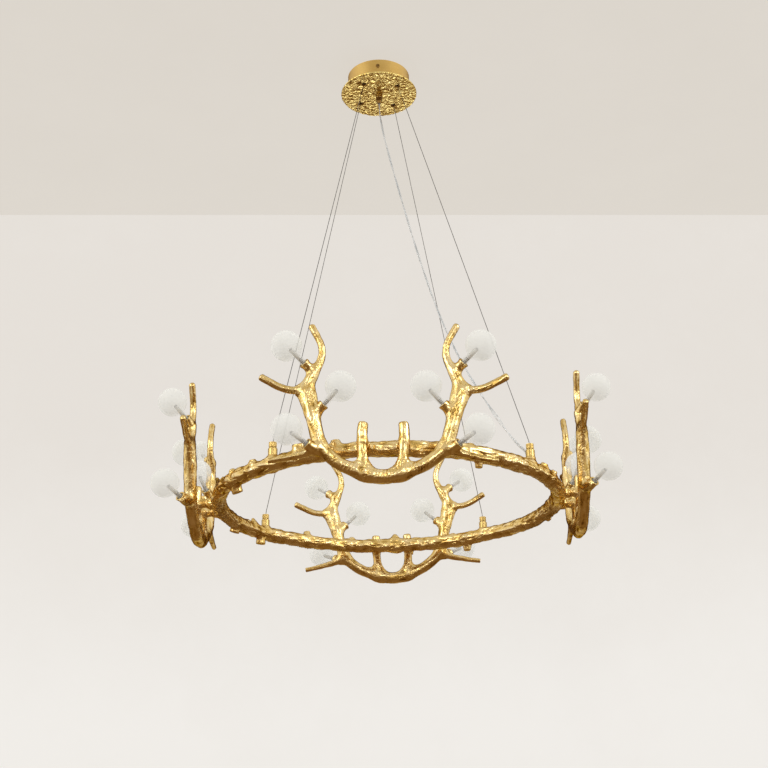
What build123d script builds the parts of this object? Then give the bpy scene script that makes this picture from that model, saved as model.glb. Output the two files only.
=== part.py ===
"""Antler chandelier: a bark-like cast ring hung from a round canopy on four steel wires, carrying
four antler racks with six small globe lamps each.

Millimetres. The origin is on the ceiling, on the canopy's axis, +Z up. One rack stands toward -Y,
and the others follow every quarter turn. A rack is drawn in its own plane: X across, Y up from the
ring's centre line, Z outwards.
"""
import os
from math import cos, pi, radians, sin, sqrt, tan

from build123d import *

os.makedirs("parts", exist_ok=True)

# ------------------------------------------------------------------ driving dimensions
running_gap = 0.3           # between pieces that move past each other
fit_gap = 0.1               # round a piece that is fitted and stays

# Canopy
canopy_radius = 75.0
canopy_height = 46.0        # ceiling to the closed bottom's underside
canopy_wall = 1.2
canopy_corner = 2.5
plate_radius = 92.0
plate_thickness = 4.0
plate_edge = 1.2

# Ceiling bracket
strap_width = 25.0
strap_thickness = 2.0
leg_drop = 26.0
screw_slot_spacing = 106.0  # between the centres of the two ceiling slots
screw_slot_length = 12.0
screw_slot_width = 5.0
side_screw_drop = 18.0      # below the ceiling
side_screw_radius = 2.0
side_screw_head = 4.6
side_screw_head_height = 2.2
side_screw_edge = 0.8
side_screw_slot = 1.1       # width and depth of the driver slot
side_screw_length = 9.0

# Driver and terminal block inside the canopy
driver_length = 80.0
driver_width = 36.0
driver_height = 20.0
driver_corner = 3.0
driver_edge = 1.2
driver_tab = 9.0
driver_tab_width = 14.0
driver_tab_thickness = 2.0
driver_screw_radius = 1.5
driver_screw_head = 3.0
driver_screw_head_height = 1.6
terminal_length = 28.0
terminal_width = 18.0
terminal_height = 13.0
terminal_edge = 1.5
terminal_across = 38.0      # from the canopy's axis to the block's middle
terminal_aside = 4.0
terminal_wire_height = 5.2
terminal_screw_depth = 7.8
terminal_wire_radius = 2.0
terminal_screw_radius = 1.3

# Suspension
ring_drop = 1038.0          # plate underside to the ring's centre line
suspension_twist = 8.0      # the wires stand this far past the corners between the racks
wire_radius = 0.6
wire_hole_offset = 57.5     # from the canopy's axis
wire_bend_radius = 8.0
wire_bend_rise = 2.0        # of the lower bend above the gripper
wire_bend_share = 0.6       # how far up the bushing's mouth the upper bend stands
wire_tail_share = 0.6       # how far down the gripper's spigot the wire reaches
bushing_radius = 3.9
bushing_bore = 1.3
bushing_mouth = 2.7
bushing_mouth_depth = 3.5
bushing_recess = 1.5        # how far the bushing's end stays inside the plate
bushing_rise = 5.5          # above the canopy's bottom
bushing_nut_radius = 6.5
bushing_nut_height = 3.0
stop_radius = 2.6
stop_length = 7.0

# Cord gland in the middle of the plate
gland_thread_radius = 5.0
gland_collar_radius = 8.0
gland_collar_length = 9.0
gland_cap_radius = 6.6
gland_collar_edge = 1.5
gland_cap_length = 16.0
gland_stem_length = 9.6     # of the thread inside the cap
gland_tip_radius = 4.4
gland_tip_length = 6.4
gland_nut_radius = 9.0
gland_nut_height = 3.5
gland_thread_rise = 8.0     # above the canopy's bottom
cord_radius = 2.3

# Ring
ring_radius = 362.3         # centre line
bark_radius = 14.2
bark_swell = 0.9            # how much the branch thickens and thins
bark_wander = 1.3           # how far its middle strays from the circle
ring_quarters = 4
sections_per_quarter = 9

# Wire grippers, standing on the ring
gripper_radius = 9.25
gripper_seat_margin = 1.2
gripper_body_height = 14.5
gripper_edge = 1.0
gripper_spigot_radius = 5.0
gripper_spigot_length = 8.0
gripper_chamber_radius = 6.3
gripper_chamber_depth = 11.0
gripper_wire_bore = 1.1
plunger_travel = 2.5
plunger_cap_radius = 7.75
plunger_cap_height = 10.0
plunger_shoulder_radius = 5.9
plunger_shoulder_length = 3.2
plunger_stem_radius = 3.8
plunger_stem_length = 4.6
knurl_count = 20
knurl_radius = 0.7
spring_wire_radius = 0.4
spring_turns = 4.0
spring_radius = 5.0
gripper_seat = 17.0         # above the ring's centre line
high_gripper_lift = 6.0     # the gripper beside the cord stands on a lump

# Cord inlet on the ring
inlet_radius = 4.4
inlet_height = 21.0         # above the ring's centre line
inlet_root = 4.0
inlet_edge = 1.2
inlet_inward = 10.3         # from the ring's centre line
inlet_aside = 9.2           # along the ring, from the gripper's axis

# Antler racks
rack_standoff = 44.1        # from the ring's centre line out to the rack's plane
rack_lean = -1.6            # turn about the outward direction
boss_across = 38.0
ring_boss_reach = 23.7      # from the ring's centre line to where ring boss and rack boss meet
ring_boss_radius = 10.5
rack_boss_radius = 9.6
boss_edge = 1.8
stud_radius = 5.0
stud_bore = 3.2
stud_grip = 14.0            # length held on each side of the boss faces

# Lamps
globe_radius = 30.0
globe_wall = 1.2
globe_reach = 46.0          # cup mouth to the globe's centre
neck_radius = 7.0
neck_engagement = 9.0
neck_fillet = 5.0
cup_mouth_radius = 9.3
cup_lip = 0.8
cup_waist_radius = 8.7
cup_waist_top = 5.0         # below the mouth
cup_waist_foot = 12.0
cup_root_radius = 7.7
cup_length = 25.0
holder_length = 8.5
pin_radius = 0.45
pin_spacing = 4.0
pin_length = 6.0
capsule_base_radius = 4.4
capsule_base_length = 6.0
capsule_base_edge = 0.7
capsule_radius = 3.5
capsule_length = 30.0

# Globe centres (across, up, out) and where each lamp points, for one side of a rack
lamps = (
    ((183.0, 179.0, 32.0), (0.68, 0.54, 0.49)),
    ((80.0, 102.0, 19.5), (-0.68, 0.67, 0.29)),
    ((175.7, 8.4, 42.9), (0.74, 0.40, 0.54)),
)

# Antler limbs, from the root to the tip: across, up, diameter
main_beam = (
    (0, -69, 28), (24, -66, 26.5), (48, -58.5, 25), (76, -46, 24.5), (99, -29.5, 25), (115, -11, 26.5),
    (123, 14, 26.5), (128.5, 40, 27.5), (135, 65, 29), (141.5, 92, 26), (141, 112, 19.5),
    (136.5, 128, 19), (128, 145, 16.5), (120.8, 161, 14.3), (117.8, 177, 13.7), (120, 194, 13.3),
    (127.5, 211, 13.3), (138, 231, 13.5),
)
lateral_tine = (
    (134, 86, 22), (146, 99, 18), (158, 102.5, 15), (175, 102, 13.4), (194, 107, 13), (214, 117.5, 13),
    (234.5, 129.5, 13),
)
brow_tine = (
    (117, -12, 21), (132, -19.5, 17), (148, -25.5, 14), (167, -30, 12.6), (190, -35, 11.3),
    (213, -38.5, 10.5),
)
middle_tine = (
    (34, -60, 25), (35.5, -45, 23.5), (37.5, -25, 19), (39, 0, 19.4), (39, 20, 20), (37.5, 37.5, 19),
)
tip_round = 0.28            # share of a tip's diameter

# Knots and cut side branches of the ring: place along the ring, direction round the branch
# (0 outwards, 90 up, 180 inwards, -90 down), reach from the centre line, root and end radius
knots = (
    (206, 48, 19, 9, 4.5), (214, 55, 21, 9, 4.5), (227.5, 68, 20, 8, 4), (248, 80, 18, 10, 4),
    (149.5, 84, 28, 15, 3), (123, 86, 22, 7, 3.5), (100, 84, 18, 9, 4), (89, 86, 27, 14, 3),
    (66, 82, 19, 10, 4.5), (45.5, 35, 19, 9, 4), (322, 62, 20, 11, 5), (336, 45, 19, 10, 5),
    (281, -60, 18, 9, 4), (18, -50, 19, 9, 4.5),
)
cut_branches = (
    (212, -112, 27, 12, 10.5), (145, -84, 28, 11, 10), (160.5, -72, 24, 10, 8.5),
    (60.5, -86, 29, 11, 8), (82.5, -84, 24, 6, 3.5), (300, -95, 27, 9, 7), (186, -30, 22, 9, 6.5),
)

# Power cord, from inside the canopy to the ring: along the gripper's direction, aside, below the ceiling
cord_points = (
    (0, 0, -48.5), (0, 0, -100), (8, 0, -151), (19, 0, -202), (31.5, 0, -254), (45.2, 0, -309),
    (59.6, 0, -365), (74.8, 0, -424), (90.8, 0, -483), (107.2, 0, -541), (124.3, 0, -599),
    (142.6, 0, -656), (162.4, 0, -712), (183.6, 0, -765), (207, 0, -816), (231.8, 0, -864.5),
    (257.3, 0, -910.5), (283.3, 0, -954.5), (309, 0.5, -996), (332, 3.5, -1031),
    (352, 9.2, -1052), (352, 9.2, -1078),
)
arc_share = 0.45

# ------------------------------------------------------------------ derived places
plate_underside = -(canopy_height + plate_thickness)
canopy_floor = -canopy_height + canopy_wall
ring_height = plate_underside - ring_drop
bushing_top = canopy_floor + bushing_rise
stop_top = bushing_top + stop_length
first_wire_angle = 45 + suspension_twist
gripper_angles = {
    "near_left": first_wire_angle - 180,
    "near_right": first_wire_angle - 90,
    "far_right": first_wire_angle,
    "far_left": first_wire_angle + 90,
}
wire_count = len(gripper_angles)
gripper_seats = {name: gripper_seat for name in gripper_angles}
gripper_seats["near_right"] += high_gripper_lift
rack_angles = {"near": -90, "right": 0, "far": 90, "left": 180}
rack_radius = ring_radius + rack_standoff
boss_face_radius = ring_radius + ring_boss_reach
rack_boss_length = rack_standoff - ring_boss_reach
bore_radius = neck_radius + running_gap
bore_depth = neck_engagement + running_gap + holder_length


def around(angle, radius, height=0.0):
    """Point at an angle and radius round the canopy's axis."""
    return (radius * cos(radians(angle)), radius * sin(radians(angle)), height)


def on_ring(angle, height=0.0):
    """Upright location above the ring's centre line, X outwards."""
    place = Plane(around(angle, ring_radius, ring_height + height), x_dir=around(angle, 1), z_dir=(0, 0, 1))
    return place.location


def rack_plane(angle):
    """A rack's own plane: X across, Y up, Z outwards, turned by the lean."""
    across = Vector(-sin(radians(angle)), cos(radians(angle)), 0) * cos(radians(rack_lean))
    across += Vector(0, 0, sin(radians(rack_lean)))
    return Plane(around(angle, rack_radius, ring_height), x_dir=across, z_dir=around(angle, 1))


def lamp_plane(lamp, side, distance=0.0):
    """Plane at a lamp cup's mouth in the rack's frame, Z along the lamp, on one side (1 or -1)."""
    centre, aim = lamp
    axis = Vector(side * aim[0], aim[1], aim[2]).normalized()
    mouth = Vector(side * centre[0], centre[1], centre[2]) - axis * globe_reach
    return Plane(mouth + axis * distance, x_dir=axis.cross(Vector(0, 0, 1)), z_dir=axis)


lamp_sites = {
    f"{height}_{hand}": (lamp, side)
    for hand, side in (("left", -1), ("right", 1))
    for height, lamp in zip(("upper", "middle", "lower"), lamps)
}

# ------------------------------------------------------------------ canopy
leg_outer = sqrt((canopy_radius - canopy_wall) ** 2 - (strap_width / 2) ** 2) - running_gap

with BuildPart() as ceiling_bracket:
    with BuildSketch(Plane.YZ):
        Rectangle(2 * leg_outer, strap_thickness, align=(Align.CENTER, Align.MAX))
        with Locations((-leg_outer, 0)):
            Rectangle(strap_thickness, leg_drop, align=(Align.MIN, Align.MAX))
        with Locations((leg_outer, 0)):
            Rectangle(strap_thickness, leg_drop, align=(Align.MAX, Align.MAX))
    extrude(amount=strap_width / 2, both=True)
    with BuildSketch(Plane.XY):
        with GridLocations(0, screw_slot_spacing, 1, 2):
            SlotOverall(screw_slot_length, screw_slot_width, rotation=90)
    extrude(amount=-strap_thickness, mode=Mode.SUBTRACT)
    with Locations(Plane((0, -leg_outer, -side_screw_drop), z_dir=(0, -1, 0))):
        Hole(side_screw_radius + fit_gap, depth=2 * leg_outer)
    with BuildSketch(Plane.XY):
        with GridLocations(0, driver_length + driver_tab, 1, 2):
            Circle(driver_screw_radius + fit_gap)
    extrude(amount=-strap_thickness, mode=Mode.SUBTRACT)

with BuildPart() as canopy_cup:
    Cylinder(canopy_radius, canopy_height, align=(Align.CENTER, Align.CENTER, Align.MAX))
    fillet(canopy_cup.edges().filter_by(GeomType.CIRCLE).sort_by(Axis.Z)[0], radius=canopy_corner)
    offset(amount=-canopy_wall, openings=canopy_cup.faces().sort_by(Axis.Z)[-1])
    with Locations((0, 0, -canopy_height)):
        with PolarLocations(wire_hole_offset, wire_count, start_angle=first_wire_angle):
            Cylinder(bushing_radius + fit_gap, 3 * canopy_wall, mode=Mode.SUBTRACT)
    with Locations((0, 0, -canopy_height)):
        Cylinder(gland_thread_radius + fit_gap, 3 * canopy_wall, mode=Mode.SUBTRACT)
    with Locations(Plane((0, -canopy_radius, -side_screw_drop), z_dir=(0, -1, 0))):
        Hole(side_screw_radius + fit_gap, depth=2 * canopy_radius)

with BuildPart() as canopy_plate:
    with Locations((0, 0, -canopy_height)):
        Cylinder(plate_radius, plate_thickness, align=(Align.CENTER, Align.CENTER, Align.MAX))
    fillet(canopy_plate.edges().filter_by(GeomType.CIRCLE), radius=plate_edge)
    with Locations((0, 0, -canopy_height)):
        with PolarLocations(wire_hole_offset, wire_count, start_angle=first_wire_angle):
            Hole(bushing_radius + fit_gap)
    with Locations((0, 0, -canopy_height)):
        Hole(gland_thread_radius + fit_gap)

with BuildPart() as side_screws:
    for side in (-1, 1):
        with Locations(Plane((0, side * canopy_radius, -side_screw_drop), z_dir=(0, side, 0))):
            Cylinder(side_screw_head, side_screw_head_height, align=(Align.CENTER, Align.CENTER, Align.MIN))
            Cylinder(side_screw_radius, side_screw_length, align=(Align.CENTER, Align.CENTER, Align.MAX))
    heads = side_screws.faces().filter_by(Axis.Y).sort_by(Axis.Y)
    fillet([heads[0].edges(), heads[-1].edges()], radius=side_screw_edge)
    for side in (-1, 1):
        face = Plane((0, side * (canopy_radius + side_screw_head_height), -side_screw_drop), z_dir=(0, side, 0))
        with Locations(face):
            Box(side_screw_slot, 1.5 * side_screw_head, 2 * side_screw_slot, mode=Mode.SUBTRACT)

with BuildPart() as led_driver:
    with Locations((0, 0, -strap_thickness)):
        Box(driver_width, driver_length, driver_height, align=(Align.CENTER, Align.CENTER, Align.MAX))
        fillet(led_driver.edges().filter_by(Axis.Z), radius=driver_corner)
        Box(driver_tab_width, driver_length + 2 * driver_tab, driver_tab_thickness,
            align=(Align.CENTER, Align.CENTER, Align.MAX))
        with GridLocations(0, driver_length + driver_tab, 1, 2):
            Cylinder(driver_screw_radius + fit_gap, 3 * driver_tab_thickness, mode=Mode.SUBTRACT)
    fillet(led_driver.edges().group_by(Axis.Z)[0], radius=driver_edge)

with BuildPart() as driver_screws:
    tab_underside = -strap_thickness - driver_tab_thickness
    with Locations((0, 0, tab_underside)):
        with GridLocations(0, driver_length + driver_tab, 1, 2):
            Cylinder(driver_screw_head, driver_screw_head_height, align=(Align.CENTER, Align.CENTER, Align.MAX))
            Cylinder(driver_screw_radius, driver_tab_thickness + strap_thickness - running_gap,
                     align=(Align.CENTER, Align.CENTER, Align.MIN))

with BuildPart() as terminal_block:
    with Locations((terminal_across, terminal_aside, canopy_floor)):
        Box(terminal_width, terminal_length, terminal_height, align=(Align.CENTER, Align.CENTER, Align.MIN))
    fillet(terminal_block.edges().filter_by(Axis.Z), radius=terminal_edge)
    with Locations((terminal_across, terminal_aside, canopy_floor + terminal_height)):
        with GridLocations(0, terminal_length / 3, 1, 3):
            Hole(terminal_screw_radius, depth=terminal_screw_depth)
    wire_entry = (terminal_across - terminal_width / 2, terminal_aside, canopy_floor + terminal_wire_height)
    with Locations(Plane(wire_entry, x_dir=(0, 1, 0), z_dir=(-1, 0, 0))):
        with GridLocations(terminal_length / 3, 0, 3, 1):
            Hole(terminal_wire_radius, depth=terminal_width)

# ------------------------------------------------------------------ wire ends in the canopy
with BuildPart() as wire_bushings:
    bushing_end = plate_underside + bushing_recess
    with Locations((0, 0, bushing_end)):
        with PolarLocations(wire_hole_offset, wire_count, start_angle=first_wire_angle):
            Cylinder(bushing_radius, bushing_top - bushing_end, align=(Align.CENTER, Align.CENTER, Align.MIN))
            Cylinder(bushing_bore, bushing_top - bushing_end, mode=Mode.SUBTRACT,
                     align=(Align.CENTER, Align.CENTER, Align.MIN))
            Cylinder(bushing_mouth, bushing_mouth_depth, mode=Mode.SUBTRACT,
                     align=(Align.CENTER, Align.CENTER, Align.MIN))

with BuildPart() as bushing_nuts:
    with BuildSketch(Plane.XY.offset(canopy_floor)):
        with PolarLocations(wire_hole_offset, wire_count, start_angle=first_wire_angle):
            RegularPolygon(bushing_nut_radius, 6)
            Circle(bushing_radius + fit_gap, mode=Mode.SUBTRACT)
    extrude(amount=bushing_nut_height)

with BuildPart() as wire_stops:
    with Locations((0, 0, bushing_top)):
        with PolarLocations(wire_hole_offset, wire_count, start_angle=first_wire_angle):
            Cylinder(stop_radius, stop_length, align=(Align.CENTER, Align.CENTER, Align.MIN))
            Cylinder(wire_radius + fit_gap, 2 * stop_length, mode=Mode.SUBTRACT)

# ------------------------------------------------------------------ cord gland
gland_bore = cord_radius + fit_gap

with BuildPart() as cord_gland:
    with Locations((0, 0, plate_underside)):
        Cylinder(gland_collar_radius, gland_collar_length, align=(Align.CENTER, Align.CENTER, Align.MAX))
    fillet(cord_gland.edges().filter_by(GeomType.CIRCLE).sort_by(Axis.Z)[0], radius=gland_collar_edge)
    with Locations((0, 0, plate_underside - gland_collar_length)):
        Cylinder(gland_thread_radius, canopy_floor - plate_underside + gland_collar_length + gland_thread_rise,
                 align=(Align.CENTER, Align.CENTER, Align.MIN))
    with Locations((0, 0, plate_underside - gland_collar_length)):
        Cylinder(gland_thread_radius, gland_stem_length, align=(Align.CENTER, Align.CENTER, Align.MAX))
        Cylinder(gland_bore, 6 * gland_cap_length, mode=Mode.SUBTRACT)

with BuildPart() as gland_cap:
    with Locations((0, 0, plate_underside - gland_collar_length)):
        Cylinder(gland_cap_radius, gland_cap_length, align=(Align.CENTER, Align.CENTER, Align.MAX))
    chamfer(gland_cap.edges().filter_by(GeomType.CIRCLE).sort_by(Axis.Z)[0],
            length=gland_tip_length, length2=gland_cap_radius - gland_tip_radius)
    with Locations((0, 0, plate_underside - gland_collar_length)):
        Cylinder(gland_thread_radius + fit_gap, 2 * (gland_stem_length + running_gap), mode=Mode.SUBTRACT)
        Cylinder(gland_bore, 3 * gland_cap_length, mode=Mode.SUBTRACT)

with BuildPart() as gland_nut:
    with BuildSketch(Plane.XY.offset(canopy_floor)):
        RegularPolygon(gland_nut_radius, 6)
        Circle(gland_thread_radius + fit_gap, mode=Mode.SUBTRACT)
    extrude(amount=gland_nut_height)

# ------------------------------------------------------------------ bark ring
gripper_seat_radius = gripper_radius + gripper_seat_margin


def branch_section(angle):
    """Plane and radius of the branch's round section at an angle along the ring."""
    turn = radians(angle)
    radius = bark_radius + bark_swell * (0.6 * sin(5 * turn + 1.0) + 0.4 * sin(12 * turn))
    middle = ring_radius + bark_wander * 0.6 * sin(7 * turn + 2.0)
    height = ring_height + bark_wander * 0.5 * sin(9 * turn)
    along = (-sin(turn), cos(turn), 0)
    return Plane(around(angle, middle, height), x_dir=(0, 0, 1), z_dir=along), radius


def branch_quarter(start):
    """A quarter of the ring, lofted through its sections."""
    with BuildPart() as quarter:
        for step in range(sections_per_quarter):
            plane, radius = branch_section(start + 90 * step / (sections_per_quarter - 1))
            with BuildSketch(plane):
                Circle(radius)
        loft()
    return quarter.part


def side_growth(angle, direction, reach, root_radius, end_radius):
    """A knot or a cut side branch: a cone out of the branch's middle."""
    turn = radians(direction)
    out = Vector(*around(angle, 1)) * cos(turn) + Vector(0, 0, sin(turn))
    along = Vector(-sin(radians(angle)), cos(radians(angle)), 0)
    base = Plane(around(angle, ring_radius, ring_height), x_dir=along, z_dir=out)
    with BuildPart() as growth:
        with Locations(base):
            Cone(root_radius, end_radius, reach, align=(Align.CENTER, Align.CENTER, Align.MIN))
        end = growth.faces().sort_by(Axis(base.origin, out))[-1]
        fillet(end.edges(), radius=0.3 * end_radius)
    return growth.part


quarters = [branch_quarter(90 * index) for index in range(ring_quarters)]
growths = [side_growth(*growth) for growth in knots + cut_branches]

with BuildPart() as branch_ring:
    for quarter in quarters:
        add(quarter)
    for growth in growths:
        add(growth)
    for name, angle in gripper_angles.items():
        with Locations(on_ring(angle)):
            Cylinder(gripper_seat_radius, gripper_seats[name], align=(Align.CENTER, Align.CENTER, Align.MIN))
    inlet_place = on_ring(gripper_angles["near_right"]) * Location((-inlet_inward, inlet_aside, inlet_root))
    for angle in rack_angles.values():
        for side in (-1, 1):
            face = rack_plane(angle).location * Location((side * boss_across, 0, -rack_boss_length))
            with Locations(face):
                Cylinder(ring_boss_radius, ring_boss_reach, align=(Align.CENTER, Align.CENTER, Align.MAX))
                Hole(stud_radius + fit_gap, depth=stud_grip + running_gap)
    for name, angle in gripper_angles.items():
        with Locations(on_ring(angle, gripper_seats[name])):
            Hole(gripper_spigot_radius + fit_gap, depth=gripper_spigot_length + running_gap)
    with Locations(inlet_place):
        Cylinder(inlet_radius + fit_gap, inlet_height, align=(Align.CENTER, Align.CENTER, Align.MIN),
                 mode=Mode.SUBTRACT)

with BuildPart() as cord_inlet:
    with Locations(inlet_place):
        Cylinder(inlet_radius, inlet_height - inlet_root, align=(Align.CENTER, Align.CENTER, Align.MIN))
    fillet(cord_inlet.edges().filter_by(GeomType.CIRCLE).sort_by(Axis.Z)[-1], radius=inlet_edge)
    with Locations(inlet_place):
        Cylinder(gland_bore, 3 * inlet_height, mode=Mode.SUBTRACT)

# ------------------------------------------------------------------ antler racks


def limb(stations):
    """Round tapering limb through stations (across, up, diameter) in the rack's plane."""
    points = [Vector(across, up, 0) for across, up, _ in stations]
    with BuildPart() as form:
        for index, (across, up, diameter) in enumerate(stations):
            after = points[min(index + 1, len(points) - 1)]
            before = points[max(index - 1, 0)]
            if across == 0:
                before = Vector(-after.X, after.Y, 0)
            with BuildSketch(Plane(points[index], x_dir=(0, 0, 1), z_dir=after - before)):
                Circle(diameter / 2)
        loft()
        tip = form.faces().sort_by_distance(points[-1])[0]
        fillet(tip.edges(), radius=tip_round * stations[-1][2])
    return form.part


def lamp_cup(lamp, side):
    """Flared socket cup on one side, from its mouth back into the limb."""
    plane = lamp_plane(lamp, side)
    with BuildPart() as cup:
        with BuildSketch(Plane.XZ):
            with BuildLine():
                Polyline((0, -cup_length), (cup_root_radius, -cup_length), (cup_waist_radius, -cup_waist_foot),
                         (cup_waist_radius, -cup_waist_top), (cup_mouth_radius, -cup_lip), (cup_mouth_radius, 0),
                         (0, 0), close=True)
            make_face()
        revolve(axis=Axis.Z)
    return plane.location * cup.part


limbs = [limb(stations) for stations in (main_beam, lateral_tine, brow_tine, middle_tine)]
cups = [lamp_cup(*site) for site in lamp_sites.values()]

with BuildPart() as antler:
    for form in limbs:
        add(form)
    mirror(about=Plane.YZ)
    for cup in cups:
        add(cup)
    for side in (-1, 1):
        with Locations(Location((side * boss_across, 0, -rack_boss_length))):
            Cylinder(rack_boss_radius, rack_boss_length, align=(Align.CENTER, Align.CENTER, Align.MIN))
    for side in (-1, 1):
        with Locations(Location((side * boss_across, 0, -rack_boss_length), (180, 0, 0))):
            Hole(stud_radius + fit_gap, depth=stud_grip + running_gap)
    for site in lamp_sites.values():
        with Locations(lamp_plane(*site)):
            Hole(bore_radius, depth=bore_depth)

for name, angle in rack_angles.items():
    with BuildPart() as rack:
        with Locations(rack_plane(angle)):
            add(antler.part)
    rack.part.label = f"{name}_antler_rack"
    export_step(rack.part, f"parts/{name}_antler_rack.step")

with BuildPart() as rack_studs:
    for angle in rack_angles.values():
        for side in (-1, 1):
            face = rack_plane(angle).location * Location((side * boss_across, 0, -rack_boss_length))
            with Locations(face):
                Cylinder(stud_radius, 2 * stud_grip)
                Cylinder(stud_bore, 3 * stud_grip, mode=Mode.SUBTRACT)

# ------------------------------------------------------------------ wire grippers
chamber_floor = gripper_body_height - gripper_chamber_depth
spring_length = gripper_chamber_depth + plunger_travel - plunger_shoulder_length
cap_underside = gripper_body_height + plunger_travel

with BuildPart() as gripper_body:
    Cylinder(gripper_radius, gripper_body_height, align=(Align.CENTER, Align.CENTER, Align.MIN))
    fillet(gripper_body.edges().filter_by(GeomType.CIRCLE).sort_by(Axis.Z)[-1], radius=gripper_edge)
    Cylinder(gripper_spigot_radius, gripper_spigot_length, align=(Align.CENTER, Align.CENTER, Align.MAX))
    with Locations((0, 0, gripper_body_height)):
        Hole(gripper_chamber_radius, depth=gripper_chamber_depth)
        Hole(gripper_wire_bore)

with BuildPart() as plunger:
    with Locations((0, 0, cap_underside)):
        Cylinder(plunger_cap_radius, plunger_cap_height, align=(Align.CENTER, Align.CENTER, Align.MIN))
        with PolarLocations(plunger_cap_radius, knurl_count):
            Cylinder(knurl_radius, plunger_cap_height, align=(Align.CENTER, Align.CENTER, Align.MIN),
                     mode=Mode.SUBTRACT)
        Cylinder(plunger_shoulder_radius, plunger_shoulder_length, align=(Align.CENTER, Align.CENTER, Align.MAX))
    with Locations((0, 0, cap_underside - plunger_shoulder_length)):
        Cylinder(plunger_stem_radius, plunger_stem_length, align=(Align.CENTER, Align.CENTER, Align.MAX))
    Cylinder(gripper_wire_bore, 6 * gripper_body_height, mode=Mode.SUBTRACT)

with BuildPart() as spring:
    with BuildLine():
        coil = Helix(pitch=(spring_length - 2 * spring_wire_radius) / spring_turns,
                     height=spring_length - 2 * spring_wire_radius, radius=spring_radius,
                     center=(0, 0, chamber_floor + spring_wire_radius))
    with BuildSketch(coil ^ 0):
        Circle(spring_wire_radius)
    sweep(is_frenet=True)

with BuildPart() as gripper_bodies:
    for name, angle in gripper_angles.items():
        with Locations(on_ring(angle, gripper_seats[name])):
            add(gripper_body.part)

for name, angle in gripper_angles.items():
    seat = on_ring(angle, gripper_seats[name])
    with BuildPart() as gripper_plunger:
        with Locations(seat):
            add(plunger.part)
    gripper_plunger.part.label = f"{name}_gripper_plunger"
    export_step(gripper_plunger.part, f"parts/{name}_gripper_plunger.step")
    with BuildPart() as gripper_spring:
        with Locations(seat):
            add(spring.part)
    gripper_spring.part.label = f"{name}_gripper_spring"
    export_step(gripper_spring.part, f"parts/{name}_gripper_spring.step")

# ------------------------------------------------------------------ wires and power cord
for name, angle in gripper_angles.items():
    cap_top = ring_height + gripper_seats[name] + cap_underside + plunger_cap_height
    wire_tail = ring_height + gripper_seats[name] - wire_tail_share * gripper_spigot_length
    top = around(angle, wire_hole_offset, stop_top)
    upper_bend = around(angle, wire_hole_offset, bushing_end + wire_bend_share * bushing_mouth_depth)
    lower_bend = around(angle, ring_radius, cap_top + wire_bend_rise)
    tail = around(angle, ring_radius, wire_tail)
    with BuildPart() as wire:
        with BuildLine() as route:
            FilletPolyline(top, upper_bend, lower_bend, tail, radius=wire_bend_radius)
        with BuildSketch(Plane(top, z_dir=(0, 0, -1))):
            Circle(wire_radius)
        sweep()
    wire.part.label = f"{name}_wire"
    export_step(wire.part, f"parts/{name}_wire.step")
    print(name, "wire length", round(sum(edge.length for edge in route.edges()), 1))

cord_angle = radians(gripper_angles["near_right"])
cord_route = [
    Vector(out * cos(cord_angle) - aside * sin(cord_angle), out * sin(cord_angle) + aside * cos(cord_angle), height)
    for out, aside, height in cord_points
]


def bend_radius(before, corner, after):
    """Largest round bend that the shorter of two runs allows."""
    shorter = min((corner - before).length, (after - corner).length)
    turn = radians((corner - before).get_angle(after - corner))
    return arc_share * shorter / tan(turn / 2)


cord_bends = [bend_radius(*corner) for corner in zip(cord_route, cord_route[1:], cord_route[2:])]
with BuildPart() as power_cord:
    with BuildLine() as cord_line:
        FilletPolyline(*cord_route, radius=cord_bends)
    with BuildSketch(Plane(cord_route[0], z_dir=(0, 0, -1))):
        Circle(cord_radius)
    sweep()
cord_length = sum(edge.length for edge in cord_line.edges())
print("power cord length", round(cord_length, 1), "bends", [round(radius) for radius in cord_bends])
print("cord volume", round(power_cord.part.volume), "section x length", round(pi * cord_radius**2 * cord_length))

# ------------------------------------------------------------------ lamps
with BuildPart() as globe:
    with BuildSketch(Plane.XZ):
        with Locations((0, globe_reach)):
            Circle(globe_radius)
        with Locations((0, -neck_engagement)):
            Rectangle(2 * neck_radius, globe_reach + neck_engagement, align=(Align.CENTER, Align.MIN))
        shoulders = [corner for corner in vertices() if 0 < corner.Z < globe_reach]
        fillet(shoulders, radius=neck_fillet)
        with Locations((0, globe_reach)):
            Circle(globe_radius - globe_wall, mode=Mode.SUBTRACT)
        with Locations((0, -neck_engagement)):
            Rectangle(2 * (neck_radius - globe_wall), globe_reach, align=(Align.CENTER, Align.MIN),
                      mode=Mode.SUBTRACT)
        with Locations((0, globe_reach)):
            Rectangle(2 * globe_radius, 4 * globe_radius, align=(Align.MAX, Align.CENTER), mode=Mode.SUBTRACT)
    revolve(axis=Axis.Z)

with BuildPart() as lamp_holder:
    Cylinder(bore_radius - fit_gap, holder_length, align=(Align.CENTER, Align.CENTER, Align.MAX))
    with GridLocations(pin_spacing, 0, 2, 1):
        Hole(pin_radius + 2 * fit_gap, depth=pin_length + running_gap)

with BuildPart() as capsule:
    Cylinder(capsule_base_radius, capsule_base_length, align=(Align.CENTER, Align.CENTER, Align.MIN))
    fillet(capsule.edges().filter_by(GeomType.CIRCLE).sort_by(Axis.Z)[-1], radius=capsule_base_edge)
    Cylinder(capsule_radius, capsule_length, align=(Align.CENTER, Align.CENTER, Align.MIN))
    fillet(capsule.edges().filter_by(GeomType.CIRCLE).sort_by(Axis.Z)[-1], radius=0.96 * capsule_radius)
    with GridLocations(pin_spacing, 0, 2, 1):
        Cylinder(pin_radius, pin_length, align=(Align.CENTER, Align.CENTER, Align.MAX))

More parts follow.
